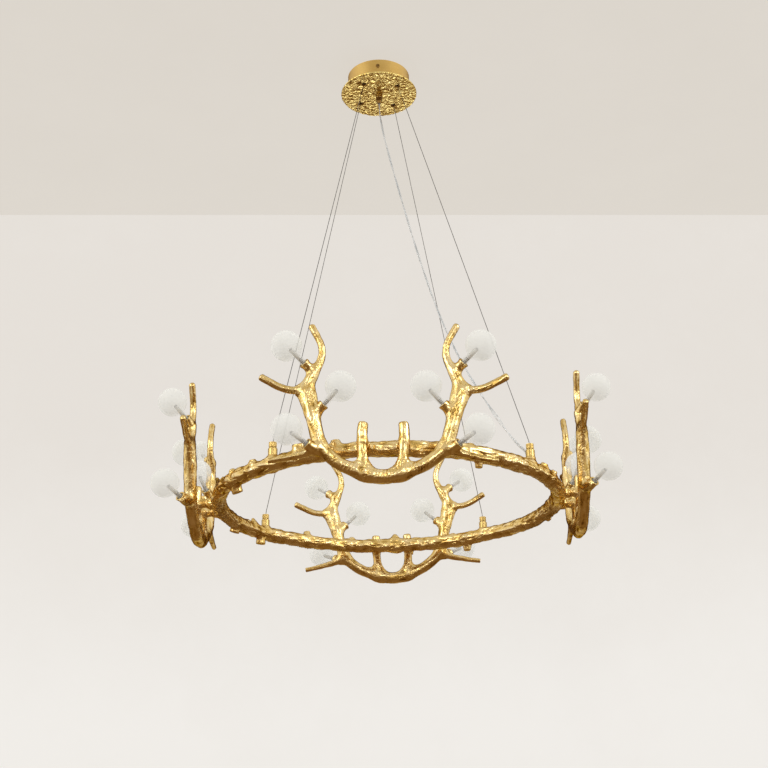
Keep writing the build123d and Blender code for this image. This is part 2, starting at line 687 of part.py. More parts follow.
holder_top = -neck_engagement - running_gap
holder_places = []
for angle in rack_angles.values():
    for lamp, side in lamp_sites.values():
        holder_places.append(rack_plane(angle).location * lamp_plane(lamp, side, holder_top).location)

with BuildPart() as lamp_holders:
    with Locations(*holder_places):
        add(lamp_holder.part)

with BuildPart() as lamp_capsules:
    with Locations(*holder_places):
        add(capsule.part)

for rack_name, angle in rack_angles.items():
    for lamp_name, site in lamp_sites.items():
        with BuildPart() as glass_globe:
            with Locations(rack_plane(angle).location * lamp_plane(*site).location):
                add(globe.part)
        glass_globe.part.label = f"{rack_name}_{lamp_name}_globe"
        export_step(glass_globe.part, f"parts/{rack_name}_{lamp_name}_globe.step")

# ------------------------------------------------------------------ labels and files
single_pieces = {
    "ceiling_bracket": ceiling_bracket,
    "canopy_cup": canopy_cup,
    "canopy_plate": canopy_plate,
    "side_screws": side_screws,
    "led_driver": led_driver,
    "driver_screws": driver_screws,
    "terminal_block": terminal_block,
    "wire_bushings": wire_bushings,
    "bushing_nuts": bushing_nuts,
    "wire_stops": wire_stops,
    "cord_gland": cord_gland,
    "gland_cap": gland_cap,
    "gland_nut": gland_nut,
    "branch_ring": branch_ring,
    "cord_inlet": cord_inlet,
    "rack_studs": rack_studs,
    "gripper_bodies": gripper_bodies,
    "power_cord": power_cord,
    "lamp_holders": lamp_holders,
    "lamp_capsules": lamp_capsules,
}
for name, piece in single_pieces.items():
    piece.part.label = name
    export_step(piece.part, f"parts/{name}.step")
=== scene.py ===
"""Looks of the antler chandelier: cast gold branch ring and antler racks, crumpled canopy plate,
frosted globes, steel wires and a clear twin flex, under a pale ceiling."""
from itertools import product
from math import cos, pi, radians, sin

import bpy
import numpy as np
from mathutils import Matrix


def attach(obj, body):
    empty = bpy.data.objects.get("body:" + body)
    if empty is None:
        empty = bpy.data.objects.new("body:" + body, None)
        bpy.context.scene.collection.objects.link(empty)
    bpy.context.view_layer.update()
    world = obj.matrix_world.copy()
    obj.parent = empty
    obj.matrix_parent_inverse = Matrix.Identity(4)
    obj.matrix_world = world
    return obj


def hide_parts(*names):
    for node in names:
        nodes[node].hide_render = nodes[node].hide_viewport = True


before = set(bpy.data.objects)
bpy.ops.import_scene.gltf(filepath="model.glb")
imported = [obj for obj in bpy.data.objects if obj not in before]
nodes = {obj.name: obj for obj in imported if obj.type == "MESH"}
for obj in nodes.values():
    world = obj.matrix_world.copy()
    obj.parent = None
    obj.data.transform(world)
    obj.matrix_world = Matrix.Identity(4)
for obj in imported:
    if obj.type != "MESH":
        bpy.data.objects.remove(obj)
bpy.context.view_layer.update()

import openvdb
from mathutils import Matrix, Vector

MM = 0.001

# ------------------------------------------------------------------ camera
camera_place = Vector((0.04417, -2.63926, -1.86362))
camera_right = Vector((0.99943823, 0.02630753, -0.02076407))
camera_up = Vector((0.02902147, -0.36946368, 0.92879187))
camera_back = Vector((0.01676265, -0.9288727, -0.37001961))

camera = bpy.data.objects.new("camera", bpy.data.cameras.new("camera"))
camera.data.lens = 59.73
camera.data.sensor_width = 36.0
camera.data.clip_end = 50.0
camera.matrix_world = Matrix.Translation(camera_place) @ Matrix(
    (camera_right, camera_up, camera_back)).transposed().to_4x4()
bpy.context.scene.collection.objects.link(camera)
bpy.context.scene.camera = camera
bpy.context.scene.view_settings.view_transform = "Standard"

# ------------------------------------------------------------------ sizes shared with the CAD, in mm
canopy_height = 46.0
plate_radius = 92.0
plate_thickness = 4.0
plate_wire_circle = 57.5    # radius at which the wires come out of the plate
ring_height = -1088.0
ring_radius = 362.3
rack_radius = 406.4
rack_lean = -1.6
boss_across = 38.0
boss_face_radius = 386.0
cup_bore = 14.6
cup_bore_depth = 17.8
globe_reach = 46.0          # from a cup's mouth to the middle of its globe
inlet_inward = 10.3         # of the cord's inlet, from the gripper's axis beside it
inlet_aside = 9.2
gripper_angles = {"near_left": -127, "near_right": -37, "far_right": 53, "far_left": 143}
gripper_seats = {"near_left": 17, "near_right": 23, "far_right": 17, "far_left": 17}   # above the ring
rack_angles = {"near": -90, "right": 0, "far": 90, "left": 180}


def around(angle, radius, height=0.0):
    """Point at an angle and radius round the canopy's axis."""
    return Vector((radius * cos(radians(angle)), radius * sin(radians(angle)), height))


# ------------------------------------------------------------------ shader sums
class Value:
    """An output of a node, which can stand in a Python sum."""

    def __init__(self, graph, socket):
        self.graph, self.socket = graph, socket

    def math(self, operation, *values):
        """A Math node on these values."""
        return self.graph.node("Math", {"operation": operation}, dict(enumerate(values)))[0]

    def __add__(self, other):
        return self.math("ADD", self, other)

    def __sub__(self, other):
        return self.math("SUBTRACT", self, other)

    def __rsub__(self, other):
        return self.math("SUBTRACT", other, self)

    def __mul__(self, other):
        return self.math("MULTIPLY", self, other)

    __radd__ = __add__
    __rmul__ = __mul__

    def above(self, low, high):
        """0 below low, 1 above high, smooth between."""
        made = self.graph.node("MapRange", {"interpolation_type": "SMOOTHSTEP"},
                               {"Value": self, "From Min": low, "From Max": high})
        return made["Result"]


class Graph:
    """The nodes of a material or of the world."""

    def __init__(self, owner):
        owner.use_nodes = True
        self.tree = owner.node_tree

    def node(self, kind, settings=None, sockets=None):
        """Adds a node: its settings first, then values or links for its sockets. Gives its outputs."""
        made = self.tree.nodes.new("ShaderNode" + kind)
        for name, value in (settings or {}).items():
            if name == "stops":
                ramp = made.color_ramp
                while len(ramp.elements) < len(value):
                    ramp.elements.new(0.5)
                for element, (place, colour) in zip(ramp.elements, value):
                    element.position, element.color = place, (*colour, 1)
            else:
                setattr(made, name, value)
        for socket, value in (sockets or {}).items():
            if isinstance(value, Value):
                self.tree.links.new(value.socket, made.inputs[socket])
            else:
                made.inputs[socket].default_value = value
        outputs = {index: Value(self, output) for index, output in enumerate(made.outputs)}
        outputs.update({output.name: Value(self, output) for output in made.outputs})
        return outputs

    def ramp(self, value, *stops):
        """Colours at places along a value."""
        return self.node("ValToRGB", {"stops": stops}, {"Fac": value})["Color"]

    def blend(self, factor, first, second):
        """Mix of two colours."""
        return self.node("Mix", {"data_type": "RGBA"}, {0: factor, 6: first, 7: second})[2]


class Finish(Graph):
    """A procedural material around one Principled shader."""

    def __init__(self, name, **constants):
        self.material = bpy.data.materials.new(name)
        super().__init__(self.material)
        self.shader = self.tree.nodes["Principled BSDF"]
        sockets = {socket.name.lower().replace(" ", "_"): socket for socket in self.shader.inputs}
        for name, value in constants.items():
            sockets[name].default_value = value

    def noise(self, scale, detail=2.0, roughness=0.5, stretch=(1, 1, 1)):
        """Noise from 0 to 1 in the piece's own metres."""
        place = self.node("TexCoord")["Object"]
        place = self.node("Mapping", None, {"Vector": place, "Scale": stretch})["Vector"]
        return self.node("TexNoise", None, {
            "Vector": place, "Scale": scale, "Detail": detail, "Roughness": roughness})[0]

    def attribute(self, name):
        """A number kept on the piece's points."""
        return self.node("Attribute", {"attribute_name": name})["Fac"]

    def feed(self, socket, value):
        """Links a value to the shader."""
        self.tree.links.new(value.socket, self.shader.inputs[socket])

    def bump(self, height, distance, strength=1.0):
        """Raises the surface by a height from 0 to 1, over a distance in metres."""
        made = self.node("Bump", None, {"Height": height, "Distance": distance, "Strength": strength})
        self.feed("Normal", made["Normal"])


# ------------------------------------------------------------------ finishes
def cast_gold():
    """Polished gold over a bark grain, with painted shade: browner in its hollows, and at its edges through a
    dark edge tint.
    """
    # The brown specular tint paints dark rims at the edges.
    finish = Finish("cast_gold", metallic=1.0, specular_tint=(0.45, 0.28, 0.12, 1.0))
    relief = finish.attribute("relief")
    leaf = finish.noise(45.0, 3.0)
    speck = finish.noise(420.0, 2.0)
    depth = relief + (leaf - 0.5) * 0.16 + (speck - 0.5) * 0.12
    # Painted shade: the colour darkens from the raised relief down into its hollows.
    finish.feed("Base Color", finish.ramp(
        depth, (0.02, (0.30, 0.16, 0.028)), (0.26, (0.72, 0.48, 0.14)), (0.50, (0.90, 0.67, 0.28)),
        (1.0, (1.0, 0.82, 0.48))))
    finish.feed("Roughness", 0.29 - 0.10 * depth + (speck - 0.5) * 0.06)
    hammer = finish.noise(190.0)
    finish.bump(hammer + 0.15 * speck, 0.0012, 0.22)
    return finish.material


def hammered_gold():
    """Polished gold over a crumpled relief, with painted shade that darkens its hollows."""
    finish = Finish("hammered_gold", metallic=1.0)
    relief = finish.attribute("relief")
    speck = finish.noise(700.0, 2.0)
    depth = relief + (speck - 0.5) * 0.1
    # Painted shade: dark brown in the crumples' hollows, light on their tops.
    finish.feed("Base Color", finish.ramp(
        depth, (0.0, (0.28, 0.15, 0.02)), (0.30, (0.94, 0.70, 0.21)), (1.0, (1.0, 0.86, 0.36))))
    finish.feed("Roughness", 0.27 - 0.12 * depth)
    finish.bump(speck, 0.0003, 0.3)
    return finish.material


def satin_gold():
    """Spun cup brushed round its axis."""
    finish = Finish("satin_gold", metallic=1.0)
    brushing = finish.noise(300.0, 3.0, 0.6, stretch=(0.15, 0.15, 6.0))
    cloud = finish.noise(14.0, 2.0)
    finish.feed("Base Color", finish.ramp(
        cloud * 0.6 + brushing * 0.4, (0.3, (0.60, 0.38, 0.10)), (0.7, (0.76, 0.53, 0.18))))
    finish.feed("Roughness", 0.42 + (brushing - 0.5) * 0.2)
    finish.bump(brushing, 0.00015, 0.4)
    return finish.material


def fittings_gold():
    """Turned and polished small parts."""
    finish = Finish("fittings_gold", metallic=1.0)
    turning = finish.noise(900.0, 2.0, 0.5, stretch=(0.1, 0.1, 3.0))
    wear = finish.noise(60.0, 3.0)
    finish.feed("Base Color", finish.ramp(
        wear, (0.25, (0.52, 0.36, 0.11)), (0.7, (0.68, 0.50, 0.19))))
    finish.feed("Roughness", 0.33 + (turning - 0.5) * 0.12)
    finish.bump(turning, 0.0001, 0.3)
    return finish.material


def plain_metal(name, dark, light, roughness, grain_scale, grain_depth):
    """Metal with a fine grain."""
    finish = Finish(name, metallic=1.0)
    grain_noise = finish.noise(grain_scale, 3.0)
    cloud = finish.noise(35.0, 2.0)
    finish.feed("Base Color", finish.ramp(cloud, (0.3, dark), (0.7, light)))
    finish.feed("Roughness", roughness + (grain_noise - 0.5) * 0.15)
    finish.bump(grain_noise, grain_depth, 0.4)
    return finish.material


def moulded(name, dark, light, roughness):
    """Moulded plastic or ceramic with a fine stipple."""
    finish = Finish(name)
    stipple = finish.noise(1400.0, 2.0)
    cloud = finish.noise(50.0, 2.0)
    finish.feed("Base Color", finish.ramp(cloud, (0.3, dark), (0.7, light)))
    finish.feed("Roughness", roughness + (stipple - 0.5) * 0.12)
    finish.bump(stipple, 0.00008, 0.35)
    return finish.material


def lamp_capsule():
    """Pale ribs of a lamp's capsule, with painted shade in grey between them."""
    finish = Finish("lamp_capsule")
    relief = finish.attribute("relief")
    cloud = finish.noise(90.0, 2.0)
    # Painted shade: the grooves between the ribs are grey.
    finish.feed("Base Color", finish.ramp(
        relief + (cloud - 0.5) * 0.2, (0.15, (0.26, 0.26, 0.25)), (0.80, (0.72, 0.72, 0.70))))
    finish.feed("Roughness", 0.18 + 0.2 * relief)
    finish.bump(finish.noise(1200.0, 2.0), 0.0001, 0.3)
    return finish.material


def clear_flex():
    """Clear insulation over bright strands, which show as silvery streaks."""
    finish = Finish("clear_flex", coat_weight=1.0, coat_roughness=0.08)
    lay = finish.noise(900.0, 1.0, 0.5, stretch=(1, 1, 0.25))
    cloud = finish.noise(30.0, 2.0)
    finish.feed("Base Color", finish.ramp(
        lay * 0.6 + cloud * 0.4, (0.35, (0.42, 0.46, 0.48)), (0.65, (0.86, 0.90, 0.92))))
    finish.feed("Metallic", lay.above(0.4, 0.6) * 0.6)
    finish.feed("Roughness", 0.25 + lay * 0.15)
    finish.bump(lay, 0.0002, 0.4)
    return finish.material


def frosted_glass():
    """Glass frosted towards the top of the globe and clear at its neck, with a painted glow that brightens it
    as room light would.
    """
    finish = Finish("frosted_glass", ior=1.45, emission_strength=0.42)
    frost = finish.attribute("frost")
    mottle = finish.noise(60.0, 3.0)
    white = finish.ramp(frost + (mottle - 0.5) * 0.08, (0.0, (0.60, 0.62, 0.58)),
                        (0.5, (0.72, 0.73, 0.67)), (1.0, (0.82, 0.83, 0.80)))
    finish.feed("Base Color", finish.blend(0.45, white, (0.12, 0.12, 0.11, 1)))
    # Painted light: the glass glows with its own frosted white, standing in for light that falls on it.
    finish.feed("Emission Color", white)
    finish.feed("Roughness", 0.08 + frost * 0.5)
    finish.feed("Alpha", 0.07 + frost * 0.27)
    finish.bump(finish.noise(900.0, 2.0), 0.0001, 0.2)
    finish.material.surface_render_method = "BLENDED"
    return finish.material


gold = cast_gold()
plate_gold = hammered_gold()
cup_gold = satin_gold()
fittings = fittings_gold()
steel = plain_metal("zinc_steel", (0.42, 0.43, 0.44), (0.62, 0.62, 0.61), 0.35, 600.0, 0.0001)
wire_steel = plain_metal("wire_steel", (0.08, 0.078, 0.075), (0.18, 0.175, 0.17), 0.35, 1500.0, 0.0002)
screw_bronze = plain_metal("bronze_screw", (0.20, 0.11, 0.03), (0.36, 0.22, 0.07), 0.40, 500.0, 0.0001)
driver_white = moulded("driver_casing", (0.70, 0.70, 0.68), (0.82, 0.82, 0.80), 0.45)
terminal_cream = moulded("terminal_plastic", (0.62, 0.61, 0.55), (0.74, 0.73, 0.67), 0.4)
ceramic = moulded("lamp_ceramic", (0.74, 0.73, 0.70), (0.86, 0.85, 0.83), 0.35)
capsule = lamp_capsule()
flex = clear_flex()
frosted = frosted_glass()

cad_finishes = {
    "canopy_cup": cup_gold, "side_screws": screw_bronze, "cord_gland": fittings, "gland_cap": screw_bronze,
    "gripper_bodies": fittings, "cord_inlet": fittings, "rack_studs": fittings, "gland_nut": steel,
    "ceiling_bracket": steel, "bushing_nuts": steel, "wire_bushings": screw_bronze, "wire_stops": steel,
    "driver_screws": steel, "led_driver": driver_white, "terminal_block": terminal_cream,
    "lamp_holders": ceramic,
}
for name in gripper_angles:
    cad_finishes[f"{name}_gripper_plunger"] = fittings
    cad_finishes[f"{name}_gripper_spring"] = steel
for name, material in cad_finishes.items():
    nodes[name].material_slots[0].material = material


# ------------------------------------------------------------------ wires and cord
def nurbs_route(name, points, radius=0.0):
    """A smooth open line through a cord's route, in mm, with a round section if it has a radius."""
    curve = bpy.data.curves.new(name, "CURVE")
    curve.dimensions = "3D"
    curve.resolution_u = 12
    curve.bevel_depth = radius * MM
    curve.bevel_resolution = 3
    curve.use_fill_caps = True
    spline = curve.splines.new("NURBS")
    spline.points.add(len(points) - 1)
    for point, place in zip(spline.points, points):
        point.co = (*(Vector(place) * MM), 1)
    spline.order_u = 3
    spline.use_endpoint_u = True
    line = bpy.data.objects.new(name, curve)
    bpy.context.scene.collection.objects.link(line)
    return line


# Points of a wire, as radius and height: from the ceiling at its top, from the gripper's seat at its foot
wire_radius = 0.7
wire_top = ((plate_wire_circle, -32.3), (plate_wire_circle, -46.4), (61.6, -59.8))
wire_foot = ((358.2, 42.4), (ring_radius, 29), (ring_radius, -4.8))

for name, angle in gripper_angles.items():
    seat = ring_height + gripper_seats[name]
    route = [around(angle, out, drop) for out, drop in wire_top]
    route += [around(angle, out, seat + rise) for out, rise in wire_foot]
    wire = nurbs_route(f"{name}_wire_rope", route, wire_radius)
    wire.data.materials.append(wire_steel)
    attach(wire, "fixture")
    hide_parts(f"{name}_wire")

# Points of the power cord: along the direction of the gripper that it goes to, aside, below the ceiling
cord_points = [
    (0, 0, -48.5), (0, 0, -100), (8, 0, -151), (19, 0, -202), (31.5, 0, -254), (45.2, 0, -309),
    (59.6, 0, -365), (74.8, 0, -424), (90.8, 0, -483), (107.2, 0, -541), (124.3, 0, -599),
    (142.6, 0, -656), (162.4, 0, -712), (183.6, 0, -765), (207, 0, -816), (231.8, 0, -864.5),
    (257.3, 0, -910.5), (283.3, 0, -954.5), (309, 0.5, -996), (332, 3.5, -1031),
    (352, 9.2, -1052), (352, 9.2, -1078),
]
cord_out = around(gripper_angles["near_right"], 1)
cord_aside = around(gripper_angles["near_right"] + 90, 1)
cord_route = [cord_out * out + cord_aside * aside + Vector((0, 0, drop)) for out, aside, drop in cord_points]
strand_count = 620          # points along a strand
strand_lay = 0.19           # metres for a full turn of the two strands
strand_radius = 1.13 * MM
strand_offset = 1.17 * MM
splay, splay_place, splay_length = 1.5 * MM, 0.985, 0.045   # where the strands part, near the lower end


def mesh_object(name, points, faces, material):
    """A mesh piece from arrays of points, in metres, and faces that all have as many corners."""
    mesh = bpy.data.meshes.new(name)
    points, faces = np.asarray(points, np.float32), np.asarray(faces, np.int32)
    mesh.vertices.add(len(points))
    mesh.vertices.foreach_set("co", points.ravel())
    mesh.loops.add(faces.size)
    mesh.loops.foreach_set("vertex_index", faces.ravel())
    mesh.polygons.add(len(faces))
    mesh.polygons.foreach_set("loop_start", np.arange(len(faces), dtype=np.int32) * faces.shape[1])
    mesh.polygons.foreach_set("use_smooth", np.full(len(faces), True))
    mesh.update(calc_edges=True)
    mesh.validate()
    mesh.materials.append(material)
    piece = bpy.data.objects.new(name, mesh)
    bpy.context.scene.collection.objects.link(piece)
    return piece


def hoop_quads(count, sides):
    """Quads between hoops of points that lie in a row."""
    index = np.arange(count * sides).reshape(count, sides)
    after = np.roll(index, -1, axis=1)
    return np.stack([index[:-1], after[:-1], after[1:], index[1:]], axis=-1).reshape(-1, 4)


def tube(path, across, other, radius, sides=10):
    """Points and quads of an open tube along a path, with the two directions of its section."""
    turn = 2 * pi * np.arange(sides) / sides
    hoops = path[:, None, :] + radius * (
        across[:, None, :] * np.cos(turn)[None, :, None] + other[:, None, :] * np.sin(turn)[None, :, None])
    return hoops.reshape(-1, 3), hoop_quads(len(path), sides)


def lathe(profile, sides):
    """Points and quads of a profile of (radius, height) turned round the vertical axis."""
    turns = 2 * pi * np.arange(sides) / sides
    hoops = np.stack([profile[:, None, 0] * np.cos(turns), profile[:, None, 0] * np.sin(turns),
                      np.repeat(profile[:, 1:], sides, axis=1)], axis=-1)
    return hoops.reshape(-1, 3), hoop_quads(len(profile), sides)


def set_number(piece, name, values):
    """Keeps a number on each point of a piece."""
    attribute = piece.data.attributes.new(name, "FLOAT", "POINT")
    attribute.data.foreach_set("value", values.astype(np.float32))


def carried_frames(path):
    """Two directions square to a path, carried along it without twist."""
    ahead = np.gradient(path, axis=0)
    ahead /= np.linalg.norm(ahead, axis=1)[:, None]
    across = np.zeros_like(path)
    start = np.array((1.0, 0, 0)) if abs(ahead[0][0]) < 0.9 else np.array((0, 1.0, 0))
    for place, direction in enumerate(ahead):
        start = start - direction * start.dot(direction)
        start /= np.linalg.norm(start)
        across[place] = start
    return across, np.cross(ahead, across)


route_line = nurbs_route("cord_route", cord_route)
route_mesh = bpy.data.meshes.new_from_object(route_line)
route = np.array([vertex.co for vertex in route_mesh.vertices])
bpy.data.objects.remove(route_line)
step = np.linalg.norm(np.diff(route, axis=0), axis=1)
along = np.concatenate(([0], np.cumsum(step)))
places = np.linspace(0, along[-1], strand_count)
path = np.stack([np.interp(places, along, route[:, axis]) for axis in range(3)], axis=1)
across, other = carried_frames(path)
twist = 2 * pi * places / strand_lay
strand_gap = strand_offset + splay * np.exp(-((places - splay_place) / splay_length) ** 2)
strand_points, strand_faces, offset = [], [], 0
for phase in (0, pi):
    swing = across * np.cos(twist + phase)[:, None] + other * np.sin(twist + phase)[:, None]
    points, faces = tube(path + swing * strand_gap[:, None], across, other, strand_radius)
    strand_points.append(points)
    strand_faces.append(faces + offset)
    offset += len(points)
power_cord = mesh_object("twin_flex", np.concatenate(strand_points), np.concatenate(strand_faces), flex)
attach(power_cord, "fixture")
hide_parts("power_cord")
cord_route[0] * MM


# ------------------------------------------------------------------ grown forms
far_away = 20.0             # mm, in voxels that no surface is near
rng = np.random.default_rng(7)
grain_directions = rng.normal(size=(509, 3))
grain_directions /= np.linalg.norm(grain_directions, axis=1)[:, None]


def grain(points, seed=0):
    """Smooth noise of about -1 to 1, a unit from bump to bump. Large primes scatter the directions."""
    cell = np.floor(points).astype(np.int64)
    part = points - cell
    ease = part ** 3 * (part * (part * 6 - 15) + 10)
    total = np.zeros(points.shape[:-1])
    for corner in product((0, 1), repeat=3):
        place = cell + corner
        key = (place[..., 0] * 73856093) ^ (place[..., 1] * 19349663) ^ (place[..., 2] * 83492791)
        direction = grain_directions[(key + seed * 7919) % len(grain_directions)]
        weight = np.prod(np.where(corner, ease, 1 - ease), axis=-1)
        total += weight * np.sum(direction * (part - corner), axis=-1)
    return total * 1.6


def smooth_least(first, second, blend):
    """The smaller of two distances, with a fillet of about the blend."""
    share = np.clip(0.5 + 0.5 * (second - first) / blend, 0, 1)
    return second * (1 - share) + first * share - blend * share * (1 - share)


def through(stations, spacing=5.0):
    """Points and radii on a smooth line through stations of (x, y, z, diameter)."""
    stations = np.array(stations, float)
    padded = np.concatenate(([2 * stations[0] - stations[1]], stations, [2 * stations[-1] - stations[-2]]))
    made = []
    for before, first, second, after in zip(padded, padded[1:], padded[2:], padded[3:]):
        steps = max(1, int(np.linalg.norm(second[:3] - first[:3]) / spacing))
        for t in np.arange(steps) / steps:
            made.append(0.5 * (2 * first + (second - before) * t
                               + (2 * before - 5 * first + 4 * second - after) * t * t
                               + (3 * first - before - 3 * second + after) * t ** 3))
    made.append(stations[-1])
    made = np.array(made)
    made[:, 3] /= 2
    return made


class Growth:
    """Voxels of distance to a surface in mm, negative inside, that limbs grow together in."""

    def __init__(self, low, high, voxel):
        self.low, self.voxel = np.array(low, float), voxel
        self.shape = np.ceil((np.array(high, float) - self.low) / voxel).astype(int)
        self.distance = np.full(self.shape, far_away, np.float32)

    def window(self, low, high):
        """Slices of the voxels between two corners, and their coordinates."""
        start = np.clip(np.floor((low - self.low) / self.voxel).astype(int), 0, self.shape)
        stop = np.clip(np.ceil((high - self.low) / self.voxel).astype(int) + 1, 0, self.shape)
        axes = [self.low[a] + self.voxel * np.arange(start[a], stop[a]) for a in range(3)]
        grid = np.meshgrid(*(axis.astype(np.float32) for axis in axes), indexing="ij", sparse=True)
        return tuple(slice(a, b) for a, b in zip(start, stop)), grid

    def limb(self, stations, blend, cuts=(), edge=1.6, carve=False, web=0.0):
        """Grows a round limb, or carves one away. Cuts are planes of a point and a direction away. A web
        keeps the fillet that near the plane z = 0, so that the join grows no thicker."""
        line = through(stations)
        reach = line[:, 3].max() + blend + 3 * self.voxel
        low, high = line[:, :3].min(0) - reach, line[:, :3].max(0) + reach
        whole, _ = self.window(low, high)
        origin = np.array([part.start for part in whole])
        form = np.full([part.stop - part.start for part in whole], far_away, np.float32)
        for first, second in zip(line, line[1:]):
            near, far = np.minimum(first, second)[:3] - reach, np.maximum(first, second)[:3] + reach
            part, (x, y, z) = self.window(near, far)
            run = (second - first)[:3]
            length = run.dot(run)
            dx, dy, dz = x - first[0], y - first[1], z - first[2]
            t = np.clip((dx * run[0] + dy * run[1] + dz * run[2]) / max(length, 1e-9), 0, 1)
            gap = np.sqrt((dx - t * run[0]) ** 2 + (dy - t * run[1]) ** 2 + (dz - t * run[2]) ** 2)
            gap -= first[3] + t * (second[3] - first[3])
            inner = tuple(slice(p.start - o, p.stop - o) for p, o in zip(part, origin))
            form[inner] = np.minimum(form[inner], gap)
        if cuts:
            _, (x, y, z) = self.window(low, high)
            for point, away in cuts:
                away = np.array(away, float) / np.linalg.norm(away)
                beyond = (x - point[0]) * away[0] + (y - point[1]) * away[1] + (z - point[2]) * away[2]
                form = -smooth_least(-form, -beyond.astype(np.float32), edge)
        if web:
            _, (x, y, z) = self.window(low, high)
            least = 4
            blend = least + (blend - least) * np.clip(1.25 - np.abs(z) / web, 0, 1)
        if carve:
            self.distance[whole] = -smooth_least(-self.distance[whole], form, blend)
        else:
            self.distance[whole] = smooth_least(self.distance[whole], form, blend)

    def skin(self):
        """Points in mm, quads and outward normals of the surface."""
        grid = openvdb.FloatGrid(far_away)
        grid.copyFromArray(self.distance)
        points, quads = grid.convertToQuads(isovalue=0.0)
        points = np.array(points, float)
        lowest = np.clip(np.floor(points).astype(int), 1, np.array(self.shape) - 3)
        normals = np.zeros_like(points)
        for axis in range(3):
            ahead, behind = lowest.copy(), lowest.copy()
            ahead[:, axis] += 2
            behind[:, axis] -= 1
            normals[:, axis] = self.distance[tuple(ahead.T)] - self.distance[tuple(behind.T)]
        normals /= np.maximum(np.linalg.norm(normals, axis=1), 1e-6)[:, None]
        return points * self.voxel + self.low, np.array(quads)[:, ::-1], normals


def flow(points, lines):
    """Where points lie on the nearest of several limbs: millimetres along it, the direction out of it,
    its own direction, and from 0 to 1 how much nearer it is than the next limb."""
    count = len(points)
    best, second = np.full(count, 1e9), np.full(count, 1e9)
    along_limb, outward, tangent = np.zeros(count), np.zeros((count, 3)), np.zeros((count, 3))
    for number, line in enumerate(lines):
        gap = np.full(count, 1e9)
        limb_along, limb_out, limb_run = np.zeros(count), np.zeros((count, 3)), np.zeros((count, 3))
        travelled = 200.0 * number
        for first, last in zip(line, line[1:]):
            run = (last - first)[:3]
            length = np.linalg.norm(run)
            if length < 1e-6:
                continue
            t = np.clip((points - first[:3]) @ run / length ** 2, 0, 1)
            away = points - first[:3] - t[:, None] * run
            distance = np.linalg.norm(away, axis=1) - (first[3] + t * (last[3] - first[3]))
            nearer = distance < gap
            gap[nearer] = distance[nearer]
            limb_along[nearer] = travelled + t[nearer] * length
            limb_out[nearer] = away[nearer]
            limb_run[nearer] = run / length
            travelled += length
        nearer = gap < best
        second = np.where(nearer, best, np.minimum(second, gap))
        best[nearer] = gap[nearer]
        along_limb[nearer] = limb_along[nearer]
        outward[nearer] = limb_out[nearer]
        tangent[nearer] = limb_run[nearer]
    outward /= np.maximum(np.linalg.norm(outward, axis=1), 1e-6)[:, None]
    return along_limb, outward, tangent, np.clip((second - best) / 8.0, 0, 1)


def relief_piece(name, points, quads, height, material, low, high):
    """A mesh piece from points in mm that keeps its relief, from 0 in the hollows to 1."""
    piece = mesh_object(name, points * MM, quads, material)
    set_number(piece, "relief", np.clip((height - low) / (high - low), 0, 1))
    return piece


fine_relief = (-0.9, 0.75)  # lowest and highest of the racks and of the plate
ring_relief = (-1.9, 2.9)


# ------------------------------------------------------------------ antler racks
# Limbs in the rack's own frame: across, up, out and diameter
main_beam = (
    (0, -69, 0, 28), (24, -66, 0, 26.5), (48, -58.5, 0, 25), (76, -46, 0, 24.5), (99, -29.5, 0, 25),
    (115, -11, 0, 26.5), (124, 14, 0, 26.5), (130, 40, 0, 27.5), (137, 65, 0, 28), (143, 90, 0, 24),
    (141, 112, 0, 20.5), (136.5, 128, 0, 22), (128, 145, 0, 17.5), (120.8, 161, 0, 14.3),
    (117.8, 177, 0, 13.7), (120, 194, 0, 13.3), (127.5, 211, 0, 13.3), (138, 231, 0, 13.5),
)
lateral_tine = (
    (141, 88, 0, 17), (149, 97.5, 0, 19), (159, 101.5, 0, 16), (175, 102, 0, 13.6), (194, 107, 0, 13),
    (214, 117.5, 0, 13), (234.5, 129.5, 0, 13),
)
brow_tine = (
    (117, -12, 0, 21), (132, -19.5, 0, 17), (148, -25.5, 0, 14), (167, -30, 0, 12.6), (190, -35, 0, 11.3),
    (213, -38.5, 0, 10.5),
)
middle_tine = (
    (34, -60, 0, 25), (35.5, -45, 0, 23.5), (37.5, -25, 0, 19), (39, 0, 0, 19.4), (39, 20, 0, 20),
    (37.5, 37.5, 0, 19),
)
# Middle of each lamp's globe and the direction that its cup points in
lamps = (
    ((183.0, 179.0, 32.0), (0.68, 0.54, 0.49)),
    ((80.0, 102.0, 19.5), (-0.68, 0.67, 0.29)),
    ((175.7, 8.4, 42.9), (0.74, 0.40, 0.54)),
)


def rack_place(angle):
    """A rack's frame in the object's, in mm: across, up and out."""
    across = Vector((-sin(radians(angle)), cos(radians(angle)), 0)) * cos(radians(rack_lean))
    across += Vector((0, 0, sin(radians(rack_lean))))
    out = around(angle, 1)
    return Matrix.Translation(around(angle, rack_radius, ring_height)) @ Matrix(
        (across, out.cross(across), out)).transposed().to_4x4()


def mirrored(stations, side):
    """Stations on one side of the rack."""
    return [(side * x, y, z, d) for x, y, z, d in stations]


def past_tip(stations):
    """Stations carried on beyond the tip, and the plane of the tip itself."""
    last, before = np.array(stations[-1], float), np.array(stations[-2], float)
    ahead = (last - before)[:3] / np.linalg.norm((last - before)[:3])
    beyond = (*(last[:3] + ahead * last[3] * 0.5), last[3] * 0.94)
    return [*stations, beyond], [(last[:3], ahead)]


# Round a cup: places along its axis from the mouth, and diameters
cup_body = ((-22, 18), (-16, 19), (-9, 18.4), (-5, 18.8), (-2, 20.6), (1.5, 23.4))
boss_width = 19.2

